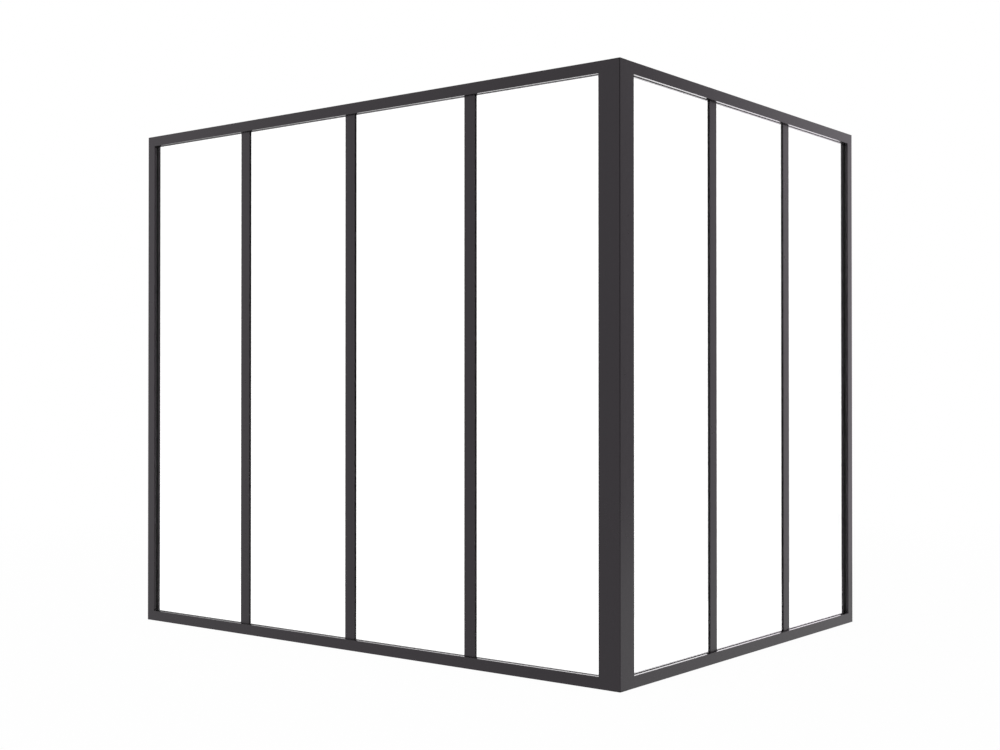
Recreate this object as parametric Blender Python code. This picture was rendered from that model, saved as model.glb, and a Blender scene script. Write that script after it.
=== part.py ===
"""Corner glass partition: two glazed wings of slim grooved extrusions on one square corner post."""

import bpy
import bmesh
from math import cos, pi, radians, sin, sqrt, tan
from mathutils import Matrix, Vector

# Driving dimensions, in metres
HEIGHT = 1.080
LEFT_BAYS = 4
RIGHT_BAYS = 3
BAY_CLEAR = 0.2782
CORNER_BAY_CLEAR = 0.2756
CLEARANCE = 0.0003

POST_SIDE = 0.0228
POST_WALL = 0.0015
POST_RADIUS = 0.0015
POST_JOINT_RADIUS = 0.0003
CAP_PLATE = 0.0015
CAP_SPIGOT_LENGTH = 0.012
CAP_SPIGOT_WALL = 0.0015

FRAME_FACE = 0.0213
FRAME_WALL = 0.0012
FRAME_LEG = 0.0053
FRAME_EDGE_RADIUS = 0.0004
FRAME_JOINT_RADIUS = 0.0003
GROOVE_DEPTH = 0.010

MULLION_FACE = 0.0252
MULLION_FLANGE = 0.00155
MULLION_WEB = 0.005
MULLION_EDGE_RADIUS = 0.0003

GLASS_THICKNESS = 0.004
GLASS_CHAMFER = 0.0004

SEAL_PROUD = 0.0001
SEAL_FLOOR = 0.001
SEAL_LIP_RADIUS = 0.0003

EDGE_SEGMENTS = 3
POST_SEGMENTS = 6
SMOOTH_ANGLE = radians(40)

# Sizes that follow from the driving dimensions
GLASS_SLOT = GLASS_THICKNESS + 2 * CLEARANCE
MULLION_DEPTH = GLASS_SLOT + 2 * MULLION_FLANGE
GROOVE_WIDTH = MULLION_DEPTH + 2 * CLEARANCE
FRAME_DEPTH = GROOVE_WIDTH + 2 * FRAME_LEG
GROOVE_FLOOR = FRAME_FACE - GROOVE_DEPTH
GLASS_EDGE = GROOVE_FLOOR + CLEARANCE + SEAL_FLOOR + CLEARANCE
GLASS_GRIP = FRAME_FACE - GLASS_EDGE
MITRE_SETBACK = CLEARANCE / sqrt(2)


def bay_span(bay):
    """Where the clear opening of a bay starts and ends, counted from the corner post's side of a wing."""
    if bay == 0:
        return FRAME_FACE, FRAME_FACE + CORNER_BAY_CLEAR
    start = FRAME_FACE + CORNER_BAY_CLEAR + bay * MULLION_FACE + (bay - 1) * BAY_CLEAR
    return start, start + BAY_CLEAR


def wing_length(bays):
    return bay_span(bays - 1)[1] + FRAME_FACE


def clear_scene():
    for old in list(bpy.data.objects):
        bpy.data.objects.remove(old, do_unlink=True)


def make_material(name, colour, roughness, metallic, transmission=0.0):
    material = bpy.data.materials.new(name)
    material.use_nodes = True
    shader = material.node_tree.nodes["Principled BSDF"]
    shader.inputs["Base Color"].default_value = (*colour, 1.0)
    shader.inputs["Roughness"].default_value = roughness
    shader.inputs["Metallic"].default_value = metallic
    shader.inputs["Transmission Weight"].default_value = transmission
    return material


# Outlines are lists of (u, v) corners: u runs inwards from the frame's outer edge, v through its depth

def round_corners(outline, radii, segments):
    """Replace each corner that has a radius with an arc, keeping the outline's direction."""
    rounded = []
    count = len(outline)
    for index, radius in enumerate(radii):
        corner = Vector(outline[index])
        if radius == 0.0:
            rounded.append(tuple(corner))
            continue
        before = (Vector(outline[index - 1]) - corner).normalized()
        after = (Vector(outline[(index + 1) % count]) - corner).normalized()
        half_angle = before.angle(after) / 2
        tangent_length = radius / tan(half_angle)
        centre = corner + (before + after).normalized() * radius / sin(half_angle)
        first = corner + before * tangent_length - centre
        last = corner + after * tangent_length - centre
        sweep = first.angle_signed(last)
        for step in range(segments + 1):
            turn = -sweep * step / segments
            rounded.append((
                centre.x + first.x * cos(turn) - first.y * sin(turn),
                centre.y + first.x * sin(turn) + first.y * cos(turn),
            ))
    return rounded


def rectangle(u_low, u_high, v_half):
    return [(u_low, -v_half), (u_high, -v_half), (u_high, v_half), (u_low, v_half)]


def frame_outlines():
    """The perimeter section: one wall thickness all round, folded in to form the glazing groove."""
    def section(inset):
        near = inset
        mouth = FRAME_FACE - inset
        floor = GROOVE_FLOOR - inset
        outside = FRAME_DEPTH / 2 - inset
        groove = GROOVE_WIDTH / 2 + inset
        return [
            (near, -outside), (mouth, -outside), (mouth, -groove), (floor, -groove),
            (floor, groove), (mouth, groove), (mouth, outside), (near, outside),
        ]
    joint = FRAME_JOINT_RADIUS
    edge = FRAME_EDGE_RADIUS
    radii = [joint, edge, edge, 0.0, 0.0, edge, edge, joint]
    return [round_corners(section(0.0), radii, EDGE_SEGMENTS), section(FRAME_WALL)]


def seal_outline():
    """A U-shaped glazing seal that lines the groove and ends almost flush with its mouth."""
    floor = GROOVE_FLOOR + CLEARANCE
    lip = FRAME_FACE + SEAL_PROUD
    outside = GROOVE_WIDTH / 2 - CLEARANCE
    inside = GLASS_SLOT / 2
    outline = [
        (floor, -outside), (lip, -outside), (lip, -inside), (floor + SEAL_FLOOR, -inside),
        (floor + SEAL_FLOOR, inside), (lip, inside), (lip, outside), (floor, outside),
    ]
    radii = [0.0, SEAL_LIP_RADIUS, SEAL_LIP_RADIUS, 0.0, 0.0, SEAL_LIP_RADIUS, SEAL_LIP_RADIUS, 0.0]
    return round_corners(outline, radii, EDGE_SEGMENTS)


def mullion_outline():
    """An H section: two faces joined by a web, with a glass slot on each side."""
    face = MULLION_FACE / 2
    web = MULLION_WEB / 2
    outside = MULLION_DEPTH / 2
    slot = GLASS_SLOT / 2
    outline = [
        (-face, -outside), (face, -outside), (face, -slot), (web, -slot),
        (web, slot), (face, slot), (face, outside), (-face, outside),
        (-face, slot), (-web, slot), (-web, -slot), (-face, -slot),
    ]
    edge = MULLION_EDGE_RADIUS
    radii = [edge, edge, 0.0, 0.0, 0.0, 0.0, edge, edge, 0.0, 0.0, 0.0, 0.0]
    return round_corners(outline, radii, EDGE_SEGMENTS)


def extrude_section(name, outlines, start, end, start_slope=0.0, end_slope=0.0):
    """Run a section along +X: u becomes Z, v becomes Y. An end with a slope of 1 is a 45 degree mitre."""
    shape = bmesh.new()
    ends = []
    for place, slope in ((start, start_slope), (end, -end_slope)):
        rings = []
        edges = []
        for outline in outlines:
            ring = [shape.verts.new((place + slope * u, v, u)) for u, v in outline]
            edges += [shape.edges.new((ring[i - 1], ring[i])) for i in range(len(ring))]
            rings.append(ring)
        bmesh.ops.triangle_fill(shape, edges=edges, use_beauty=True)
        ends.append(rings)
    for first, last in zip(*ends):
        for i in range(len(first)):
            shape.faces.new((first[i - 1], first[i], last[i], last[i - 1]))
    return finish_mesh(shape, name)


def finish_mesh(shape, name):
    bmesh.ops.recalc_face_normals(shape, faces=shape.faces)
    mesh = bpy.data.meshes.new(name)
    shape.to_mesh(mesh)
    shape.free()
    mesh.shade_smooth()
    mesh.set_sharp_from_angle(angle=SMOOTH_ANGLE)
    return mesh


def place(name, mesh, material, parent, location=(0.0, 0.0, 0.0), turn=0.0):
    """Add one named piece under its parent, turned about the parent's Y axis."""
    piece = bpy.data.objects.new(name, mesh)
    bpy.context.scene.collection.objects.link(piece)
    piece.parent = parent
    piece.location = location
    piece.rotation_euler = (0.0, turn, 0.0)
    mesh.materials.clear()
    mesh.materials.append(material)
    return piece


def make_parent(name, location, turn):
    """An empty that carries one wing, turned about the vertical."""
    parent = bpy.data.objects.new(name, None)
    bpy.context.scene.collection.objects.link(parent)
    parent.location = location
    parent.rotation_euler = (0.0, 0.0, turn)
    return parent


def frame_sides(length):
    """The four bars round a wing: name, length, corner they start from and turn about Y."""
    return [
        ("bottom", length, (0.0, 0.0, 0.0), 0.0),
        ("end", HEIGHT, (length, 0.0, 0.0), -pi / 2),
        ("top", length, (length, 0.0, HEIGHT), pi),
        ("corner", HEIGHT, (0.0, 0.0, HEIGHT), pi / 2),
    ]


def make_frame(wing, length, parent, material):
    kinds = {"bottom": "rail", "top": "rail", "end": "stile", "corner": "stile"}
    for side, run, corner, turn in frame_sides(length):
        name = f"{wing}_{side}_{kinds[side]}"
        mesh = extrude_section(name, frame_outlines(), MITRE_SETBACK, run - MITRE_SETBACK, 1.0, 1.0)
        place(name, mesh, material, parent, corner, turn)


def make_mullions(wing, bays, parent, material):
    foot = GROOVE_FLOOR + CLEARANCE
    for number in range(1, bays):
        name = f"{wing}_mullion_{number}"
        mesh = extrude_section(name, [mullion_outline()], foot, HEIGHT - foot)
        bay_end = bay_span(number - 1)[1]
        place(name, mesh, material, parent, (bay_end + MULLION_FACE / 2, 0.0, 0.0), -pi / 2)


def make_glass(wing, bays, parent, material):
    """One pane a bay, held by the same grip on all four edges."""
    for bay in range(bays):
        start, end = bay_span(bay)
        pane = bmesh.new()
        bmesh.ops.create_cube(pane, size=1.0)
        size = (end - start + 2 * GLASS_GRIP, GLASS_THICKNESS, HEIGHT - 2 * GLASS_EDGE)
        bmesh.ops.transform(pane, matrix=Matrix.Diagonal((*size, 1.0)), verts=pane.verts)
        bmesh.ops.bevel(pane, geom=pane.edges[:], offset=GLASS_CHAMFER, segments=1, affect="EDGES")
        name = f"{wing}_glass_{bay + 1}"
        mesh = finish_mesh(pane, name)
        place(name, mesh, material, parent, ((start + end) / 2, 0.0, HEIGHT / 2))


def make_seals(wing, bays, length, parent, material):
    """Seals are mitred where two grooves meet and cut square beside a mullion."""
    outline = [seal_outline()]
    for side, run, corner, turn in frame_sides(length):
        if side in ("end", "corner"):
            name = f"{wing}_{side}_seal"
            mesh = extrude_section(name, outline, MITRE_SETBACK, run - MITRE_SETBACK, 1.0, 1.0)
            place(name, mesh, material, parent, corner, turn)
            continue
        for bay in range(bays):
            name = f"{wing}_{side}_seal_{bay + 1}"
            start, end = bay_span(bay)
            at_post = bay == 0
            at_end = bay == bays - 1
            low = MITRE_SETBACK if at_post else start + CLEARANCE
            high = run - MITRE_SETBACK if at_end else end - CLEARANCE
            slopes = (float(at_post), float(at_end))
            if side == "top":
                low, high = run - high, run - low
                slopes = slopes[::-1]
            mesh = extrude_section(name, outline, low, high, *slopes)
            place(name, mesh, material, parent, corner, turn)


def make_post(material, cap_material):
    """The square tube at the corner, with a plug at each end. Its two corners beside the wings are nearly sharp."""
    half = POST_SIDE / 2
    bore = half - POST_WALL
    tube_end = CAP_PLATE + CLEARANCE
    radii = [POST_RADIUS, POST_JOINT_RADIUS, POST_RADIUS, POST_JOINT_RADIUS]
    outer = round_corners(rectangle(-half, half, half), radii, POST_SEGMENTS)
    mesh = extrude_section("corner_post", [outer, rectangle(-bore, bore, bore)], tube_end, HEIGHT - tube_end)
    place("corner_post", mesh, material, None, (0.0, 0.0, 0.0), -pi / 2)
    make_cap("corner_post_foot_plug", outer, bore - CLEARANCE, cap_material, 0.0, -pi / 2)
    make_cap("corner_post_top_plug", outer, bore - CLEARANCE, cap_material, HEIGHT, pi / 2)


def make_cap(name, outer, spigot_half, material, level, turn):
    """A flat plate with a hollow spigot that pushes into the tube."""
    hollow = spigot_half - CAP_SPIGOT_WALL
    spigot = rectangle(-spigot_half, spigot_half, spigot_half)
    shape = bmesh.new()
    shape.from_mesh(extrude_section(name, [outer], 0.0, CAP_PLATE))
    inner_face = [face for face in shape.faces if all(abs(v.co.x - CAP_PLATE) < CLEARANCE / 2 for v in face.verts)]
    bmesh.ops.delete(shape, geom=inner_face, context="FACES_ONLY")
    rim = [edge for edge in shape.edges if edge.is_boundary]
    spigot_rings = []
    for half, height in ((spigot_half, CAP_PLATE), (spigot_half, CAP_PLATE + CAP_SPIGOT_LENGTH),
                         (hollow, CAP_PLATE + CAP_SPIGOT_LENGTH), (hollow, CAP_PLATE)):
        spigot_rings.append([shape.verts.new((height, v, u)) for u, v in rectangle(-half, half, half)])
    for lower, upper in zip(spigot_rings, spigot_rings[1:]):
        for i in range(len(spigot)):
            shape.faces.new((lower[i - 1], lower[i], upper[i], upper[i - 1]))
    shape.faces.new(spigot_rings[-1])
    seat = [edge for edge in shape.edges if edge.is_boundary and edge not in rim]
    bmesh.ops.triangle_fill(shape, edges=rim + seat, use_beauty=True)
    place(name, finish_mesh(shape, name), material, None, (0.0, 0.0, level), turn)


def make_wing(wing, bays, location, turn, coat, glass, rubber):
    parent = make_parent(f"{wing}_wing", location, turn)
    length = wing_length(bays)
    make_frame(wing, length, parent, coat)
    make_mullions(wing, bays, parent, coat)
    make_glass(wing, bays, parent, glass)
    make_seals(wing, bays, length, parent, rubber)


def main():
    clear_scene()
    coat = make_material("satin_anthracite_coat", (0.035, 0.034, 0.036), 0.35, 0.0)
    glass = make_material("clear_glass", (0.95, 0.98, 0.97), 0.0, 0.0, 1.0)
    rubber = make_material("black_rubber", (0.01, 0.01, 0.01), 0.6, 0.0)
    plastic = make_material("black_plastic", (0.02, 0.02, 0.02), 0.5, 0.0)
    make_post(coat, plastic)
    to_side = POST_SIDE / 2 + CLEARANCE
    to_glass = POST_SIDE / 2 - FRAME_DEPTH / 2
    make_wing("left", LEFT_BAYS, (-to_side, -to_glass, 0.0), pi, coat, glass, rubber)
    make_wing("right", RIGHT_BAYS, (to_glass, to_side, 0.0), pi / 2, coat, glass, rubber)


main()
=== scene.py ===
from math import pi, radians

import bmesh
import bpy
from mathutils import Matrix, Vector


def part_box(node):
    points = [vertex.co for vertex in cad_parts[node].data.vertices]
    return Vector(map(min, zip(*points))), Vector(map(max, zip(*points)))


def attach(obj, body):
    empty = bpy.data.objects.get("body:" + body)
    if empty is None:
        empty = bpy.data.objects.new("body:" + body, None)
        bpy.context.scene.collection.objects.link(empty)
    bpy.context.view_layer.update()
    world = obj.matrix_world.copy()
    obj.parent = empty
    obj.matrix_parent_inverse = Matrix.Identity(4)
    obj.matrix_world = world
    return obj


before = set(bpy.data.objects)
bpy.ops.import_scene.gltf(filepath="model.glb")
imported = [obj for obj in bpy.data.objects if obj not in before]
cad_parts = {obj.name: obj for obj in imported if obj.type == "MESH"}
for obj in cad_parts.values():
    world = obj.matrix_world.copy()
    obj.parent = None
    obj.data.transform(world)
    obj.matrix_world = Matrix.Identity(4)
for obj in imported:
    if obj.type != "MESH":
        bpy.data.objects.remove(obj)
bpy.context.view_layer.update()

WHITE = (1.0, 1.0, 1.0)
UPRIGHT = radians(90.0)

# Camera, at the photograph's place and angle
CAMERA_PLACE = (1.33041, -2.06619, 0.5131)
CAMERA_PITCH = radians(90.4065)
CAMERA_TURN = radians(38.3524)
CAMERA_LENS = 51.474
CAMERA_SENSOR = 36.0
CAMERA_SHIFT = (0.02142, 0.00512)
CAMERA_REACH = 200.0

# Finishes. A scale is a pattern's repeats in a metre, a height or width is in metres,
# and a span is the part of a pattern that is stretched over the whole change.

# Powder coat, which is worn thin along the edges
COAT_COLOUR = (0.0042, 0.0040, 0.0044)
COAT_TONES = (0.8, 1.2)
COAT_ROUGHNESS = (0.26, 0.34)
COAT_SHEEN_TINT = (1.0, 0.90, 1.0)
COAT_IOR = 1.5
COAT_CLOUD_SCALE = 5.0
COAT_MOTTLE_SCALE = 90.0
COAT_SPAN = (0.6, 1.4)
WORN_COLOUR = (0.014, 0.0135, 0.014)
WORN_WIDTH = 0.0007
WORN_EDGE_SPAN = (0.02, 0.25)
WORN_SCALE = 260.0
WORN_SPAN = (0.42, 0.66)
WORN_MOST = 0.55
PEEL_SCALE = 620.0
PEEL_HEIGHT = 0.000010
GRAIN_SCALE = 3600.0
GRAIN_HEIGHT = 0.0000012

# Float glass
GLASS_COLOUR = (0.996, 0.999, 0.997)
GLASS_CAST = (0.993, 0.999, 0.995)
GLASS_IOR = 1.5
GLASS_CAST_SCALE = 2.0
GLASS_ROLL_SCALE = 3.0
GLASS_ROLL_HEIGHT = 0.00002

# Rubber
RUBBER_COLOUR = (0.0035, 0.0035, 0.0036)
RUBBER_ROUGHNESS = (0.62, 0.85)
RUBBER_IOR = 1.5
RUBBER_GRAIN_SCALE = 2400.0
RUBBER_GRAIN_HEIGHT = 0.000008
DUST_COLOUR = (0.012, 0.012, 0.0115)
DUST_SCALE = 180.0
DUST_SPAN = (0.52, 0.75)
DUST_MOST = 0.7

# Plastic of the plugs
PLASTIC_COLOUR = (0.006, 0.006, 0.0062)
PLASTIC_TONES = (0.8, 1.3)
PLASTIC_ROUGHNESS = (0.46, 0.56)
PLASTIC_IOR = 1.48
PLASTIC_CLOUD_SCALE = 70.0
PLASTIC_CLOUD_SPAN = (0.35, 0.65)
PLASTIC_GRAIN_SCALE = 2600.0
PLASTIC_GRAIN_HEIGHT = 0.000012
RUBBED_WIDTH = 0.0006
RUBBED_EDGE_SPAN = (0.02, 0.3)
RUBBED_SHINE = 0.12

# Filled joints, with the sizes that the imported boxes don't give
JOINT_GAP = 0.0003
JOINT_RADIUS = 0.0003
JOINT_DEPTH = 0.0012
FILL_CLEARANCE = 0.00001
BEAD_DEPTH = 0.006
BEAD_HOLLOW = 0.00012
BEAD_COLUMNS = 5
BEAD_ROWS = 8
RAIL_FACE = 0.0213
MERGE_DISTANCE = 1e-6
SLOPE_LEAST = 0.5

# Studio
FLOOR_SIZE = 60.0
FLOOR_CENTRE = (-0.5, 0.4, 0.0)
FLOOR_COLOUR = (0.9, 0.9, 0.9)
FLOOR_GLOW = (0.975, 1.0)
FLOOR_FADE = (1.4, 3.2)
SURROUND_DIFFUSE = 0.7
SURROUND_SEEN = 1.0
SURROUND_THROUGH_PANES = 1.3

# A trace of violet in the boards' light, as the coat has in the photograph.
# It is stronger where the coat is seen at a flat angle and its own tint fades.
FAINT_TINT = (1.0, 0.985, 1.0)
FULL_TINT = (1.0, 0.95, 1.0)

# Boards: place, turn, size, glow at each end of a span of the width, that span, and tint
BOARDS = {
    "graded_board": ((1.0, 1.9), radians(180.0), (3.6, 2.2), (0.51, 1.40), (-0.2, 0.75), FULL_TINT),
    "dark_board": ((1.74, -2.68), radians(32.6), (5.8, 3.0), (0.1, 0.1), (-1.0, 1.0), FAINT_TINT),
    "bright_board": ((-1.4, 1.38), radians(38.35), (3.6, 1.6), (0.8, 3.8), (-1.1, 0.9), FAINT_TINT),
    "end_board": ((-3.0, -1.0), radians(105.0), (1.2, 2.0), (1.35, 1.0), (-0.3, 0.5), FAINT_TINT),
    "rail_board": ((-0.5, 1.85), radians(180.0), (0.7, 2.2), (1.4, 3.2), (-0.35, 0.0), FULL_TINT),
}

# Dim flags outside each wing: place, turn and size
FLAGS = {
    "left_flag": ((-1.0, -0.4), 0.0, (1.6, 1.3)),
    "right_flag": ((0.4, 1.24), radians(90.0), (1.32, 1.35)),
}
FLAG_GLOW = 0.1

# The kinds of ray that neither a board nor a flag is there for
UNSEEN_BY = ("camera", "diffuse", "volume_scatter", "shadow")

# Lamp
LAMP_PLACE = (-1.5, -4.2, 3.2)
LAMP_TARGET = (-0.4, 0.2, 0.5)
LAMP_SIZE = (3.5, 2.5)
LAMP_POWER = 60.0


def feed(tree, socket, source):
    """Join a socket to another node's output, or give it a constant."""
    if isinstance(source, bpy.types.NodeSocket):
        tree.links.new(source, socket)
    elif socket.type == "RGBA":
        socket.default_value = (*source, 1.0)
    else:
        socket.default_value = source


def add(tree, kind, settings=None, **inputs):
    """Add a node. Settings are its own properties, and inputs go to the sockets of those names or numbers."""
    node = tree.nodes.new(kind)
    for name, setting in (settings or {}).items():
        setattr(node, name, setting)
    for name, source in inputs.items():
        key = int(name[1:]) if name[1:].isdigit() else name.replace("_", " ")
        feed(tree, node.inputs[key], source)
    return node


def new_material(name):
    material = bpy.data.materials.new(name)
    material.use_nodes = True
    material.node_tree.nodes.clear()
    return material, material.node_tree


def finish_material(tree, surface):
    output = add(tree, "ShaderNodeOutputMaterial", Surface=surface)
    output.is_active_output = True


def object_place(tree):
    return add(tree, "ShaderNodeTexCoord").outputs["Object"]


def noise(tree, place, scale, detail=2.0, roughness=0.5):
    node = add(tree, "ShaderNodeTexNoise", Vector=place, Scale=scale, Detail=detail, Roughness=roughness)
    return node.outputs["Fac"]


def spread(tree, value, span, to_span=(0.0, 1.0)):
    """Stretch a value from one span to another, clamped at both ends."""
    (low, high), (to_low, to_high) = span, to_span
    return add(tree, "ShaderNodeMapRange", i0=value, i1=low, i2=high, i3=to_low, i4=to_high).outputs[0]


def maths(tree, operation, first, second=0.0):
    return add(tree, "ShaderNodeMath", {"operation": operation}, i0=first, i1=second).outputs[0]


def blend_colours(tree, amount, first, second):
    node = add(tree, "ShaderNodeMix", {"data_type": "RGBA"}, i0=amount, i6=first, i7=second)
    return node.outputs[2]


def tones_of(colour, shares):
    """A darker and a lighter tone of a colour."""
    return [tuple(channel * share for channel in colour) for share in shares]


def mix_shaders(tree, share, first, second):
    return add(tree, "ShaderNodeMixShader", i0=share, i1=first, i2=second).outputs[0]


def raise_surface(tree, height, distance, under=None):
    """Relief of a height in metres, on top of any relief that is under it."""
    node = add(tree, "ShaderNodeBump", Strength=1.0, Distance=distance, Height=height)
    if under is not None:
        feed(tree, node.inputs["Normal"], under)
    return node.outputs["Normal"]


def edge_mask(tree, radius, span):
    """How near a sharp or rounded edge a point is, from 0 on the flats to 1 on the edge."""
    flat = add(tree, "ShaderNodeNewGeometry").outputs["True Normal"]
    rounded = add(tree, "ShaderNodeBevel", {"samples": 4}, Radius=radius).outputs["Normal"]
    turn = add(tree, "ShaderNodeVectorMath", {"operation": "DOT_PRODUCT"}, i0=flat, i1=rounded)
    return spread(tree, maths(tree, "SUBTRACT", 1.0, turn.outputs["Value"]), span)


def satin_coat():
    """Baked powder coat: fine orange peel, slow changes of gloss and thin edges that have been rubbed."""
    material, tree = new_material("satin_powder_coat")
    place = object_place(tree)
    cloud = noise(tree, place, COAT_CLOUD_SCALE, detail=3.0)
    mottle = noise(tree, place, COAT_MOTTLE_SCALE)
    change = maths(tree, "ADD", cloud, mottle)
    dark, light = tones_of(COAT_COLOUR, COAT_TONES)
    tone = blend_colours(tree, spread(tree, change, COAT_SPAN), dark, light)
    rubbed = noise(tree, place, WORN_SCALE, detail=3.0, roughness=0.6)
    worn = maths(tree, "MULTIPLY", edge_mask(tree, WORN_WIDTH, WORN_EDGE_SPAN),
                 spread(tree, rubbed, WORN_SPAN, (0.0, WORN_MOST)))
    peel = raise_surface(tree, noise(tree, place, PEEL_SCALE), PEEL_HEIGHT)
    grain = raise_surface(tree, noise(tree, place, GRAIN_SCALE, detail=1.0), GRAIN_HEIGHT, peel)
    shader = add(tree, "ShaderNodeBsdfPrincipled", Base_Color=blend_colours(tree, worn, tone, WORN_COLOUR),
                 Roughness=spread(tree, change, COAT_SPAN, COAT_ROUGHNESS), IOR=COAT_IOR, Normal=grain,
                 Specular_Tint=COAT_SHEEN_TINT)
    finish_material(tree, shader.outputs[0])
    return material


def clear_glass():
    """Float glass with a faint roll and cast.

    The lamp's light and what the coat reflects pass straight through.
    """
    material, tree = new_material("clear_float_glass")
    place = object_place(tree)
    cast = blend_colours(tree, noise(tree, place, GLASS_CAST_SCALE, detail=3.0), GLASS_COLOUR, GLASS_CAST)
    roll = raise_surface(tree, noise(tree, place, GLASS_ROLL_SCALE, detail=1.0), GLASS_ROLL_HEIGHT)
    shader = add(tree, "ShaderNodeBsdfPrincipled", Base_Color=cast, Roughness=0.0, IOR=GLASS_IOR,
                 Transmission_Weight=1.0, Normal=roll)
    clear = add(tree, "ShaderNodeBsdfTransparent", Color=GLASS_COLOUR)
    path = add(tree, "ShaderNodeLightPath").outputs
    off_coat = maths(tree, "GREATER_THAN", path["Is Reflection Ray"], path["Is Singular Ray"])
    passing = maths(tree, "MAXIMUM", off_coat, path["Is Shadow Ray"])
    finish_material(tree, mix_shaders(tree, passing, shader.outputs[0], clear.outputs[0]))
    return material


def glazing_rubber():
    """Matt black rubber with a fine extruded grain and a little dust."""
    material, tree = new_material("black_glazing_rubber")
    place = object_place(tree)
    specks = noise(tree, place, DUST_SCALE, detail=4.0, roughness=0.65)
    dust = spread(tree, specks, DUST_SPAN, (0.0, DUST_MOST))
    colour = blend_colours(tree, dust, RUBBER_COLOUR, DUST_COLOUR)
    rough = spread(tree, dust, (0.0, DUST_MOST), RUBBER_ROUGHNESS)
    grain = raise_surface(tree, noise(tree, place, RUBBER_GRAIN_SCALE), RUBBER_GRAIN_HEIGHT)
    shader = add(tree, "ShaderNodeBsdfPrincipled", Base_Color=colour, Roughness=rough, IOR=RUBBER_IOR,
                 Normal=grain)
    finish_material(tree, shader.outputs[0])
    return material


def moulded_plastic():
    """Black moulded plastic with a spark-eroded grain and edges rubbed a little shinier."""
    material, tree = new_material("black_moulded_plastic")
    place = object_place(tree)
    cloud = noise(tree, place, PLASTIC_CLOUD_SCALE, detail=3.0)
    dark, light = tones_of(PLASTIC_COLOUR, PLASTIC_TONES)
    matt = spread(tree, cloud, PLASTIC_CLOUD_SPAN, PLASTIC_ROUGHNESS)
    shine = maths(tree, "MULTIPLY", edge_mask(tree, RUBBED_WIDTH, RUBBED_EDGE_SPAN), RUBBED_SHINE)
    cells = add(tree, "ShaderNodeTexVoronoi", Vector=place, Scale=PLASTIC_GRAIN_SCALE)
    grain = raise_surface(tree, cells.outputs["Distance"], PLASTIC_GRAIN_HEIGHT)
    shader = add(tree, "ShaderNodeBsdfPrincipled", Base_Color=blend_colours(tree, cloud, dark, light),
                 Roughness=maths(tree, "SUBTRACT", matt, shine), IOR=PLASTIC_IOR, Normal=grain)
    finish_material(tree, shader.outputs[0])
    return material


def dress_frame(coat, glass, rubber, plastic):
    """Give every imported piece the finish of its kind."""
    finishes = {"glass": glass, "seal": rubber, "plug": plastic}
    for name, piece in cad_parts.items():
        own = [finish for word, finish in finishes.items() if word in name]
        piece.data.materials.clear()
        piece.data.materials.append(own[0] if own else coat)


def new_shape(name, **sizes):
    """A geometry tree that takes a mesh and named inputs. Returns it with its input and output sockets."""
    tree = bpy.data.node_groups.new(name, "GeometryNodeTree")
    tree.interface.new_socket(name="Geometry", in_out="OUTPUT", socket_type="NodeSocketGeometry")
    tree.interface.new_socket(name="Geometry", in_out="INPUT", socket_type="NodeSocketGeometry")
    for size, kind in sizes.items():
        tree.interface.new_socket(name=size, in_out="INPUT", socket_type=f"NodeSocket{kind}")
    return tree, tree.nodes.new("NodeGroupInput").outputs, tree.nodes.new("NodeGroupOutput").inputs


def thicken(tree, flat, length):
    """Turn flat faces into closed solids of a length along their normals."""
    facing = add(tree, "GeometryNodeInputNormal").outputs["True Normal"]
    grown = add(tree, "GeometryNodeExtrudeMesh", Mesh=flat, Offset=facing, Offset_Scale=length,
                Individual=False)
    back = add(tree, "GeometryNodeFlipFaces", Mesh=flat)
    both = add(tree, "GeometryNodeJoinGeometry")
    for half in (back, grown):
        tree.links.new(half.outputs["Mesh"], both.inputs[0])
    merged = add(tree, "GeometryNodeMergeByDistance", Geometry=both.outputs[0], Distance=MERGE_DISTANCE)
    return merged.outputs[0]


def finish_shape(tree, geometry, finish, output):
    """Make instances real and give the shape its finish."""
    real = add(tree, "GeometryNodeRealizeInstances", Geometry=geometry).outputs[0]
    done = add(tree, "GeometryNodeSetMaterial", Geometry=real, Material=finish).outputs[0]
    tree.links.new(done, output)


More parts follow.
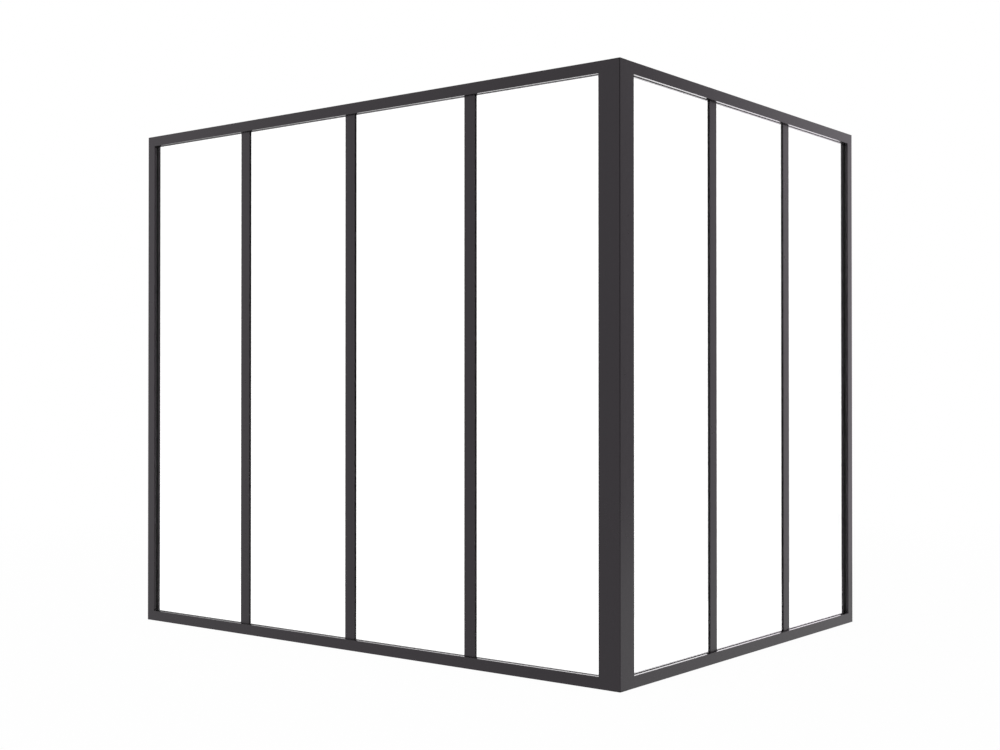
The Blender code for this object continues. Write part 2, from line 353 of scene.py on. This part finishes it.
def bead_shape():
    """A bead on each point of a mesh, upright and turned by the point's own angle.

    It fills a gap as far as its depth. Its mouth flares along rounded corners, and its face can be hollow.
    """
    tree, size, output = new_shape("joint_bead", Gap="Float", Flare="Float", Depth="Float", Hollow="Float",
                                   Length="Float", Finish="Material")
    flat = add(tree, "GeometryNodeMeshGrid", Size_X=2.0, Size_Y=1.0, Vertices_X=BEAD_COLUMNS,
               Vertices_Y=BEAD_ROWS).outputs["Mesh"]
    place = add(tree, "GeometryNodeInputPosition").outputs[0]
    spot = add(tree, "ShaderNodeSeparateXYZ", Vector=place).outputs

    # Side runs from -1 to 1 across the gap, and row from 0 at the mouth to 1 at the depth
    side = spot["X"]
    row = maths(tree, "ADD", spot["Y"], 0.5)
    deep = maths(tree, "MULTIPLY", maths(tree, "POWER", row, 2.0), size["Depth"])

    # A quarter circle opens the mouth
    rise = maths(tree, "SUBTRACT", size["Flare"], maths(tree, "MINIMUM", deep, size["Flare"]))
    radius_squared = maths(tree, "POWER", size["Flare"], 2.0)
    across_squared = maths(tree, "SUBTRACT", radius_squared, maths(tree, "POWER", rise, 2.0))
    flare = maths(tree, "SUBTRACT", size["Flare"], maths(tree, "SQRT", across_squared))
    mouth = maths(tree, "ADD", maths(tree, "MULTIPLY", size["Gap"], 0.5), flare)
    half = maths(tree, "SUBTRACT", mouth, FILL_CLEARANCE)

    # The hollow is deepest in the middle of the face and gone at the depth
    bulge = maths(tree, "SUBTRACT", 1.0, maths(tree, "POWER", side, 2.0))
    dish = maths(tree, "MULTIPLY", size["Hollow"], bulge)
    sunk = maths(tree, "ADD", deep, maths(tree, "MULTIPLY", dish, maths(tree, "SUBTRACT", 1.0, row)))

    outline = add(tree, "ShaderNodeCombineXYZ", X=maths(tree, "MULTIPLY", side, half), Y=sunk).outputs[0]
    shaped = add(tree, "GeometryNodeSetPosition", Geometry=flat, Position=outline).outputs[0]
    bead = thicken(tree, shaped, size["Length"])
    turn = add(tree, "GeometryNodeInputNamedAttribute", {"data_type": "FLOAT"}, Name="turn")
    upright = add(tree, "ShaderNodeCombineXYZ", Z=turn.outputs["Attribute"]).outputs[0]
    placed = add(tree, "GeometryNodeInstanceOnPoints", Points=size["Geometry"], Instance=bead,
                 Rotation=upright)
    finish_shape(tree, placed.outputs[0], size["Finish"], output[0])
    return tree


def mitre_shape():
    """A thin plate off every sloping end face of a mesh. It fills the gap of the mitre, flush all round."""
    tree, size, output = new_shape("mitre_fill", Gap="Float", Finish="Material")
    facing = add(tree, "GeometryNodeInputNormal").outputs["True Normal"]
    slope = maths(tree, "ABSOLUTE", add(tree, "ShaderNodeSeparateXYZ", Vector=facing).outputs["Z"])
    upright = add(tree, "FunctionNodeCompare", {"operation": "LESS_THAN"}, i0=slope, i1=SLOPE_LEAST)
    ends = add(tree, "GeometryNodeDeleteGeometry", {"domain": "FACE"}, Geometry=size["Geometry"],
               Selection=upright.outputs[0])
    nudge = add(tree, "ShaderNodeVectorMath", {"operation": "SCALE"}, i0=facing, Scale=FILL_CLEARANCE)
    clear = add(tree, "GeometryNodeSetPosition", Geometry=ends.outputs[0], Offset=nudge.outputs[0])
    thickness = maths(tree, "SUBTRACT", size["Gap"], 2 * FILL_CLEARANCE)
    finish_shape(tree, thicken(tree, clear.outputs[0], thickness), size["Finish"], output[0])
    return tree


def spots_mesh(name, spots):
    """A mesh of loose points, each with the angle that its bead is turned by."""
    shape = bmesh.new()
    turn = shape.verts.layers.float.new("turn")
    for place, angle in spots:
        shape.verts.new(place)[turn] = angle
    mesh = bpy.data.meshes.new(name)
    shape.to_mesh(mesh)
    shape.free()
    return mesh


def merged_copy(name, nodes):
    """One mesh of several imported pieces, with their loose triangles joined up."""
    shape = bmesh.new()
    for node in nodes:
        shape.from_mesh(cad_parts[node].data)
    bmesh.ops.remove_doubles(shape, verts=shape.verts, dist=MERGE_DISTANCE)
    mesh = bpy.data.meshes.new(name)
    shape.to_mesh(mesh)
    shape.free()
    return mesh


def make_piece(name, mesh, tree, slot, **sizes):
    """Run a geometry tree on a mesh, keep the result as a plain mesh and fix the piece to the frame."""
    piece = bpy.data.objects.new(name, mesh)
    bpy.context.scene.collection.objects.link(piece)
    modifier = piece.modifiers.new(tree.name, "NODES")
    modifier.node_group = tree
    for item in tree.interface.items_tree:
        if item.in_out == "INPUT" and item.name in sizes:
            modifier[item.identifier] = sizes[item.name]
    graph = bpy.context.evaluated_depsgraph_get()
    plain = bpy.data.meshes.new_from_object(piece.evaluated_get(graph), depsgraph=graph)
    piece.modifiers.clear()
    if plain.materials[0] is None:
        plain.materials.pop(index=0)
    plain.name = name
    piece.data = plain
    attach(piece, "root")


def make_joint_fill(bead, coat):
    """The two outer joints between the post and the wings are filled flush and coated over."""
    post_low, post_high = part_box("corner_post")
    left_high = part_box("left_corner_stile")[1]
    right_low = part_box("right_corner_stile")[0]
    spots = [
        (((left_high.x + post_low.x) / 2, post_low.y + FILL_CLEARANCE, FILL_CLEARANCE), 0.0),
        ((post_high.x - FILL_CLEARANCE, (right_low.y + post_high.y) / 2, FILL_CLEARANCE), pi / 2),
    ]
    height = left_high.z - 2 * FILL_CLEARANCE
    make_piece("corner_joint_fill", spots_mesh("corner_joint_spots", spots), bead, "satin_coat", Finish=coat,
               Gap=JOINT_GAP, Flare=JOINT_RADIUS, Depth=JOINT_DEPTH, Hollow=0.0, Length=height)


def make_mitre_fill(coat):
    """Each mitre of the two frames is filled with a thin plate of the bars' own section."""
    shape = mitre_shape()
    for wing in ("left", "right"):
        stiles = merged_copy(f"{wing}_stile_ends", [f"{wing}_corner_stile", f"{wing}_end_stile"])
        make_piece(f"{wing}_mitre_fill", stiles, shape, "satin_coat", Finish=coat, Gap=JOINT_GAP)


def bead_spots(mullion, pane_half, along):
    """The four slots of a mullion: where each starts and how its bead turns.

    Along is the wing's own axis, 0 or 1.
    """
    low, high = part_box(mullion)
    off = pane_half + JOINT_GAP / 2
    turns = ((-pi / 2, pi / 2), (0.0, pi))[along]
    spots = []
    for edge, turn in zip((low[along], high[along]), turns):
        for side in (-off, off):
            spot = [0.0, 0.0, RAIL_FACE]
            spot[along] = edge
            spot[1 - along] = (low[1 - along] + high[1 - along]) / 2 + side
            spots.append((spot, turn))
    return spots


def make_glazing_beads(bead, rubber):
    """A thin hollow bead on both faces of a pane, all the way up each mullion."""
    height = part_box("corner_post_top_plug")[1].z - 2 * RAIL_FACE
    for wing, along in (("left", 0), ("right", 1)):
        pane_low, pane_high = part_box(f"{wing}_glass_1")
        pane_half = (pane_high[1 - along] - pane_low[1 - along]) / 2
        mullions = [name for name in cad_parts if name.startswith(f"{wing}_mullion")]
        spots = [spot for mullion in mullions for spot in bead_spots(mullion, pane_half, along)]
        make_piece(f"{wing}_glazing_beads", spots_mesh(f"{wing}_bead_spots", spots), bead, "glazing_seal",
                   Finish=rubber, Gap=JOINT_GAP, Flare=0.0, Depth=BEAD_DEPTH, Hollow=BEAD_HOLLOW,
                   Length=height)


def make_camera():
    data = bpy.data.cameras.new("photograph_camera")
    data.lens = CAMERA_LENS
    data.sensor_width = CAMERA_SENSOR
    data.sensor_fit = "HORIZONTAL"
    data.shift_x, data.shift_y = CAMERA_SHIFT
    data.clip_end = CAMERA_REACH
    camera = bpy.data.objects.new("photograph_camera", data)
    camera.location = CAMERA_PLACE
    camera.rotation_euler = (CAMERA_PITCH, 0.0, CAMERA_TURN)
    bpy.context.scene.collection.objects.link(camera)
    bpy.context.scene.camera = camera


def seen_or_mirrored(tree):
    """1 for what is seen directly, through glass or in a reflection, and 0 for the light on things."""
    path = add(tree, "ShaderNodeLightPath").outputs
    direct = maths(tree, "MAXIMUM", path["Is Camera Ray"], path["Is Transmission Ray"])
    return maths(tree, "MAXIMUM", direct, path["Is Glossy Ray"])


def pane_rays(tree):
    """1 for what is seen straight through a pane, then 1 for what a pane mirrors."""
    path = add(tree, "ShaderNodeLightPath").outputs
    at_pane = maths(tree, "MAXIMUM", path["Is Transmission Ray"], path["Is Singular Ray"])
    reflected = maths(tree, "GREATER_THAN", path["Glossy Depth"], 0.5)
    mirrored = maths(tree, "MULTIPLY", at_pane, reflected)
    return maths(tree, "SUBTRACT", at_pane, mirrored), mirrored


def satin_rays(tree):
    """1 for what a satin surface reflects."""
    path = add(tree, "ShaderNodeLightPath").outputs
    return maths(tree, "SUBTRACT", path["Is Glossy Ray"], path["Is Singular Ray"])


def surround_level(tree):
    """How bright the surround is to the eye. Behind a pane it makes up for what the pane takes away."""
    through = pane_rays(tree)[0]
    return spread(tree, through, (0.0, 1.0), (SURROUND_SEEN, SURROUND_THROUGH_PANES))


def make_floor():
    """A plain pale floor that keeps the shadow."""
    bpy.ops.mesh.primitive_plane_add(size=FLOOR_SIZE)
    floor = bpy.context.object
    floor.name = "studio_floor"
    material, tree = new_material("pale_studio_floor")
    lit = add(tree, "ShaderNodeBsdfDiffuse", Color=FLOOR_COLOUR)
    glow = add(tree, "ShaderNodeEmission", Color=WHITE, Strength=surround_level(tree))
    place = object_place(tree)
    away = add(tree, "ShaderNodeVectorMath", {"operation": "DISTANCE"}, i0=place, i1=FLOOR_CENTRE)
    share = maths(tree, "MULTIPLY", seen_or_mirrored(tree),
                  spread(tree, away.outputs["Value"], FLOOR_FADE, FLOOR_GLOW))
    finish_material(tree, mix_shaders(tree, share, lit.outputs[0], glow.outputs[0]))
    floor.data.materials.append(material)


def make_surround():
    """A white surround to the eye and in reflections, and a softer light on things."""
    world = bpy.data.worlds.new("studio_surround")
    world.use_nodes = True
    tree = world.node_tree
    tree.nodes.clear()
    strength = spread(tree, seen_or_mirrored(tree), (0.0, 1.0), (SURROUND_DIFFUSE, surround_level(tree)))
    background = add(tree, "ShaderNodeBackground", Color=WHITE, Strength=strength)
    add(tree, "ShaderNodeOutputWorld", Surface=background.outputs[0])
    bpy.context.scene.world = world


def stand_board(name, place, turn, size):
    """An upright board on the floor, with an empty material for it to wear."""
    bpy.ops.mesh.primitive_plane_add(size=1.0)
    board = bpy.context.object
    board.name = name
    board.scale = (*size, 1.0)
    board.rotation_euler = (UPRIGHT, 0.0, turn)
    board.location = (*place, size[1] / 2)
    material, tree = new_material(name)
    board.data.materials.append(material)
    for kind in UNSEEN_BY:
        setattr(board, f"visible_{kind}", False)
    return board, tree


def light_board(tree, seen, colour, strength):
    """Make a board glow where its own kind of ray meets it, and let every other ray pass."""
    clear = add(tree, "ShaderNodeBsdfTransparent")
    shine = add(tree, "ShaderNodeEmission", Color=colour, Strength=strength)
    finish_material(tree, mix_shaders(tree, seen, clear.outputs[0], shine.outputs[0]))


def make_boards():
    """Boards that only satin reflections see. They brighten the coat towards each wing's far end."""
    for name, (place, turn, size, glow, span, tint) in BOARDS.items():
        board, tree = stand_board(name, place, turn, size)
        board.visible_transmission = False
        spot = add(tree, "ShaderNodeSeparateXYZ", Vector=object_place(tree))
        across = maths(tree, "MULTIPLY", spot.outputs["X"], size[0])
        light_board(tree, satin_rays(tree), tint, spread(tree, across, span, glow))


def make_flags():
    """Dim flags that only the panes mirror, so that the reveals behind the glass stay dark."""
    for name, (place, turn, size) in FLAGS.items():
        tree = stand_board(name, place, turn, size)[1]
        light_board(tree, pane_rays(tree)[1], WHITE, FLAG_GLOW)


def make_lamp():
    """A soft rectangular lamp that faces the partition and has no highlight of its own."""
    data = bpy.data.lights.new("soft_key", "AREA")
    data.shape = "RECTANGLE"
    data.size, data.size_y = LAMP_SIZE
    data.energy = LAMP_POWER
    lamp = bpy.data.objects.new("soft_key", data)
    lamp.location = LAMP_PLACE
    lamp.rotation_euler = (Vector(LAMP_TARGET) - Vector(LAMP_PLACE)).to_track_quat("-Z", "Y").to_euler()
    lamp.visible_camera = False
    lamp.visible_transmission = False
    lamp.visible_glossy = False
    bpy.context.scene.collection.objects.link(lamp)


def main():
    make_camera()
    coat = satin_coat()
    rubber = glazing_rubber()
    dress_frame(coat, clear_glass(), rubber, moulded_plastic())
    bead = bead_shape()
    make_joint_fill(bead, coat)
    make_mitre_fill(coat)
    make_glazing_beads(bead, rubber)
    make_floor()
    make_surround()
    make_boards()
    make_flags()
    make_lamp()
    bpy.context.scene.view_settings.view_transform = "Standard"


main()
